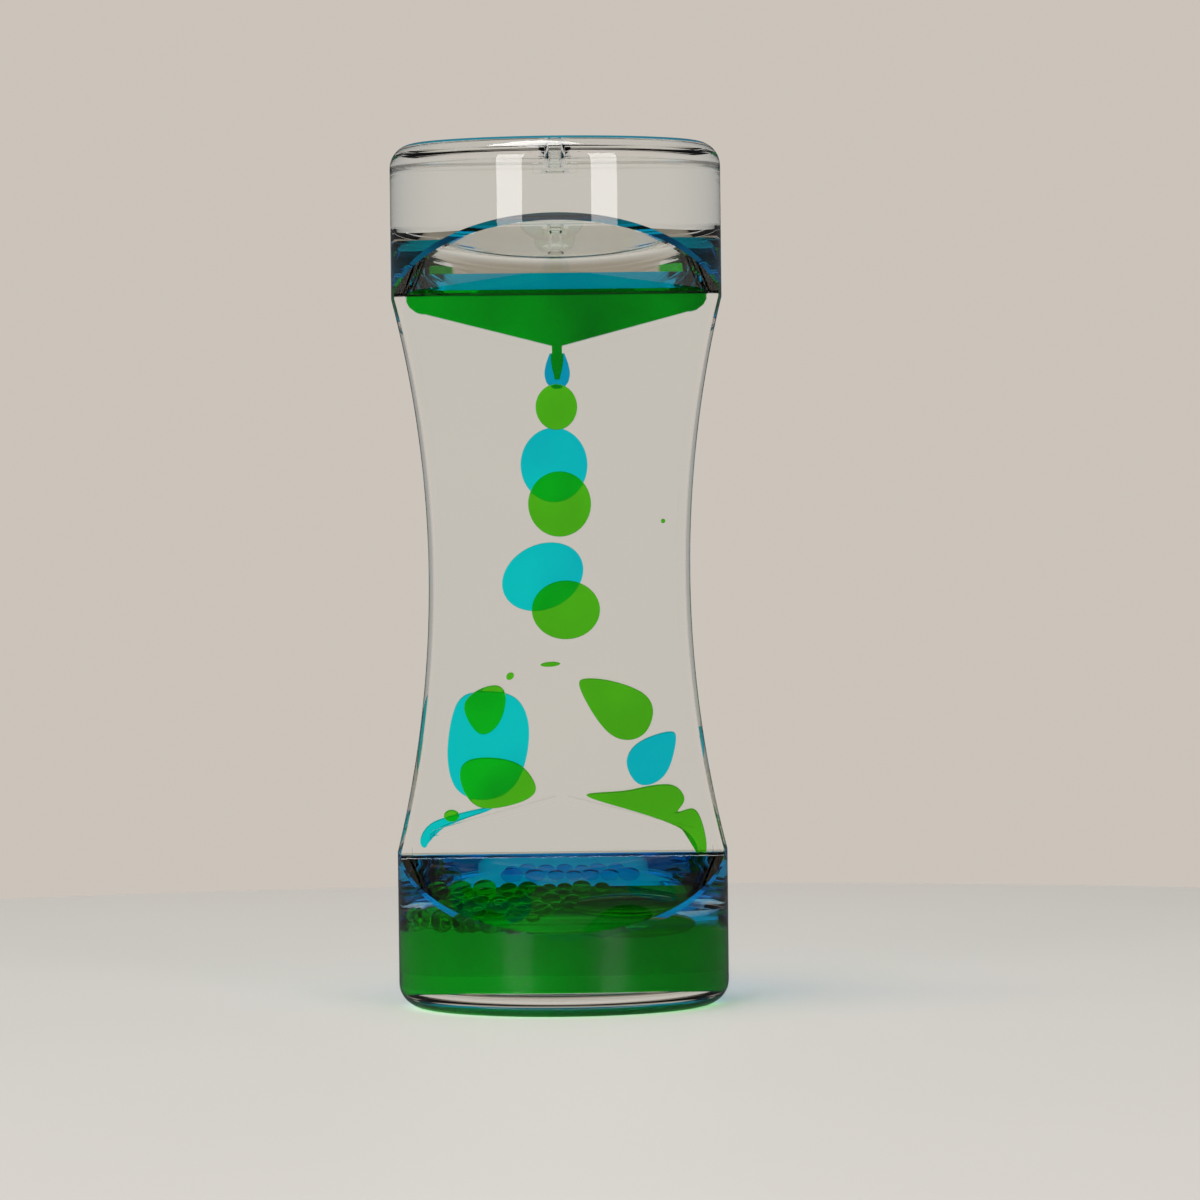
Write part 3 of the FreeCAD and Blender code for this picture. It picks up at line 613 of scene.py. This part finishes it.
# bubbles that haven't merged yet, heaped in rows on the lower pools, and one into which some have run together
heaps = {
    "greenBubbleHeap": dict(
        node="green_bubble_heap", side=-1, level=pool["greenLower"],
        low=-22.0, high=8.0, rows=6, small=1.1, large=2.0, seed=5,
        merged=dict(across=10.5, depth=12.5, halfWidth=9.5, halfDepth=5.0, halfHeight=2.1, lift=0.3),
    ),
    "blueBubbleHeap": dict(
        node="blue_bubble_heap", side=1, level=pool["blueLower"],
        low=-9.0, high=12.0, rows=2, small=1.2, large=1.9, seed=8,
    ),
}
heaping = dict(wallGap=0.6, plateGap=0.5, start=2.0, shorter=2.2, scatter=0.3, lift=0.6, gap=0.15, rowStep=1.75)


def bubbleHeap(name, sizes, material):
    chance = random.Random(sizes["seed"])
    reach = vessel["endRadius"] - vessel["sideWall"] - heaping["wallGap"]
    bm = bmesh.new()
    behind = divider["rebateHalf"] + heaping["plateGap"] + sizes["large"]
    for row in range(sizes["rows"]):
        across = sizes["low"] + chance.uniform(0, heaping["start"])
        while across < sizes["high"] - row * heaping["shorter"]:
            radius = chance.uniform(sizes["small"], sizes["large"])
            depth = behind + chance.uniform(-heaping["scatter"], heaping["scatter"])
            if math.hypot(across, depth) + radius < reach:
                height = sizes["level"] + radius * heaping["lift"]
                place = Matrix.Translation(Vector((across, sizes["side"] * depth, height)) * mm)
                bmesh.ops.create_icosphere(bm, subdivisions=3, radius=radius * mm, matrix=place)
            across += 2 * radius + heaping["gap"]
        behind += sizes["large"] * heaping["rowStep"]
    flat = sizes.get("merged")
    if flat:
        spread = Matrix.Diagonal((flat["halfWidth"], flat["halfDepth"], flat["halfHeight"], 1))
        height = sizes["level"] + flat["lift"]
        centre = Vector((flat["across"], sizes["side"] * flat["depth"], height)) * mm
        bmesh.ops.create_icosphere(bm, subdivisions=5, radius=mm, matrix=Matrix.Translation(centre) @ spread)
    for face in bm.faces:
        face.smooth = True
    return newObject(name, bm, [material])


for name, sizes in heaps.items():
    green = sizes["side"] < 0
    heap = bubbleHeap(name, sizes, greenBubble if green else blueBubble)
    stand(heap, "vessel", "green_liquid" if green else "blue_liquid", sizes["node"])
print("streams and bubbles made")


# studio: a pale floor, a pale world, two tall soft windows in front and a soft light above
studio = dict(
    floorRadius=0.29, floorTones=((0.66, 0.645, 0.62), (0.70, 0.685, 0.66)), aim=(0, 0, 0.07),
    pale=(0.60, 0.55, 0.495), sideTone=(0.50, 0.48, 0.45), skyTone=(0.30, 0.25, 0.19),
    # the shelf tone is painted shade: the floor's darker colour where it is seen through the vessel
    overheadTone=(0.09, 0.085, 0.08), roomTone=(0.07, 0.07, 0.075), paintedShelfShade=(0.46, 0.42, 0.37),
    sideRange=(0.45, 0.95), skyRange=(0.15, 0.5), overheadRange=(0.74, 0.86),
)


def mixed(nodes, links, factor, *sources):
    # two colours or sockets, mixed by a socket
    mix = nodes.new("ShaderNodeMix")
    mix.data_type = "RGBA"
    links.new(factor, mix.inputs["Factor"])
    for socket, source in zip(("A", "B"), sources):
        if isinstance(source, tuple):
            mix.inputs[socket].default_value = (*source, 1)
        else:
            links.new(source, mix.inputs[socket])
    return mix.outputs["Result"]


def ramped(nodes, links, source, ends):
    # from 0 to 1 while the source goes from one end to the other
    ramp = nodes.new("ShaderNodeMapRange")
    ramp.inputs["From Min"].default_value, ramp.inputs["From Max"].default_value = ends
    links.new(source, ramp.inputs["Value"])
    return ramp.outputs[0]


def mirrorOnly(nodes, links):
    # light that went through glass counts as glossy too, and is taken off
    path = nodes.new("ShaderNodeLightPath")
    only = nodes.new("ShaderNodeMath")
    only.operation = "SUBTRACT"
    only.use_clamp = True
    links.new(path.outputs["Is Glossy Ray"], only.inputs[0])
    links.new(path.outputs["Is Transmission Ray"], only.inputs[1])
    return only.outputs[0]


def paleFloor():
    bm = bmesh.new()
    bmesh.ops.create_circle(bm, cap_ends=True, segments=256, radius=studio["floorRadius"])
    floor = newObject("paleFloor", bm)
    material = bpy.data.materials.new("paleFloor")
    material.use_nodes = True
    nodes, links = material.node_tree.nodes, material.node_tree.links
    surface = nodes["Principled BSDF"]
    surface.inputs["Roughness"].default_value = 0.55
    place = nodes.new("ShaderNodeTexCoord")
    grain = nodes.new("ShaderNodeTexNoise")
    grain.inputs["Scale"].default_value = 6
    tone = nodes.new("ShaderNodeValToRGB")
    for stop, color in zip(tone.color_ramp.elements, studio["floorTones"]):
        stop.color = (*color, 1)
    links.new(place.outputs["Object"], grain.inputs["Vector"])
    links.new(grain.outputs["Fac"], tone.inputs["Fac"])
    # painted shade: seen through the vessel the floor is painted in a darker shelf tone, and in the vessel's
    # mirrors it is painted dark as the room, a painted reflection
    path = nodes.new("ShaderNodeLightPath")
    through = mixed(nodes, links, mirrorOnly(nodes, links), studio["paintedShelfShade"], studio["roomTone"])
    seen = mixed(nodes, links, path.outputs["Is Glossy Ray"], tone.outputs["Color"], through)
    links.new(seen, surface.inputs["Base Color"])
    floor.data.materials.append(material)


def paleWorld():
    # plain for the camera; for all else dimmer at the sides, above and overhead, and dimmest in mirrors
    world = bpy.data.worlds.new("paleWorld")
    world.use_nodes = True
    nodes, links = world.node_tree.nodes, world.node_tree.links
    background = nodes["Background"]
    place = nodes.new("ShaderNodeTexCoord")
    split = nodes.new("ShaderNodeSeparateXYZ")
    wide = nodes.new("ShaderNodeMath")
    wide.operation = "ABSOLUTE"
    path = nodes.new("ShaderNodeLightPath")
    links.new(place.outputs["Generated"], split.inputs[0])
    links.new(split.outputs["X"], wide.inputs[0])
    sides = ramped(nodes, links, wide.outputs[0], studio["sideRange"])
    lift = ramped(nodes, links, split.outputs["Z"], studio["skyRange"])
    above = ramped(nodes, links, split.outputs["Z"], studio["overheadRange"])
    flank = mixed(nodes, links, sides, studio["pale"], studio["sideTone"])
    overhead = mixed(nodes, links, above, studio["skyTone"], studio["overheadTone"])
    room = mixed(nodes, links, lift, flank, overhead)
    mirrored = mixed(nodes, links, mirrorOnly(nodes, links), room, studio["roomTone"])
    seen = mixed(nodes, links, path.outputs["Is Camera Ray"], mirrored, studio["pale"])
    links.new(seen, background.inputs["Color"])
    bpy.context.scene.world = world


def softWindow(name, place, width, height, power):
    # a lamp that is mirrored in the vessel but isn't seen through it
    light = bpy.data.lights.new(name, "AREA")
    light.shape = "RECTANGLE"
    light.size, light.size_y = width, height
    light.energy = power
    lamp = bpy.data.objects.new(name, light)
    lamp.location = place
    aim = Vector(studio["aim"]) - Vector(place)
    lamp.rotation_euler = aim.to_track_quat("-Z", "Y").to_euler()
    lamp.visible_transmission = False
    bpy.context.scene.collection.objects.link(lamp)


paleFloor()
paleWorld()
softWindow("windowLeft", (-0.80, -1.30, 0.42), 0.50, 0.90, 9)
softWindow("windowRight", (0.86, -1.28, 0.45), 0.52, 0.90, 9)
softWindow("ceilingLight", (-0.22, -0.15, 1.6), 0.8, 0.8, 18)

# camera, fitted to the photograph
view = dict(place=(0, -1.0, 0.089), target=(0.0067, 0, 0.0674), lens=180.0, sensor=36.0, roll=0.65)
lens = bpy.data.cameras.new("photoCamera")
lens.lens = view["lens"]
lens.sensor_width = view["sensor"]
camera = bpy.data.objects.new("photoCamera", lens)
aim = (Vector(view["target"]) - Vector(view["place"])).to_track_quat("-Z", "Y").to_matrix().to_4x4()
roll = Matrix.Rotation(-math.radians(view["roll"]), 4, "Z")
camera.matrix_world = Matrix.Translation(view["place"]) @ aim @ roll
bpy.context.scene.collection.objects.link(camera)
bpy.context.scene.camera = camera
bpy.context.scene.view_settings.view_transform = "Standard"
bpy.context.scene.cycles.max_bounces = 40
bpy.context.scene.cycles.transmission_bounces = 40
bpy.context.scene.cycles.transparent_max_bounces = 24
print("studio and camera set")
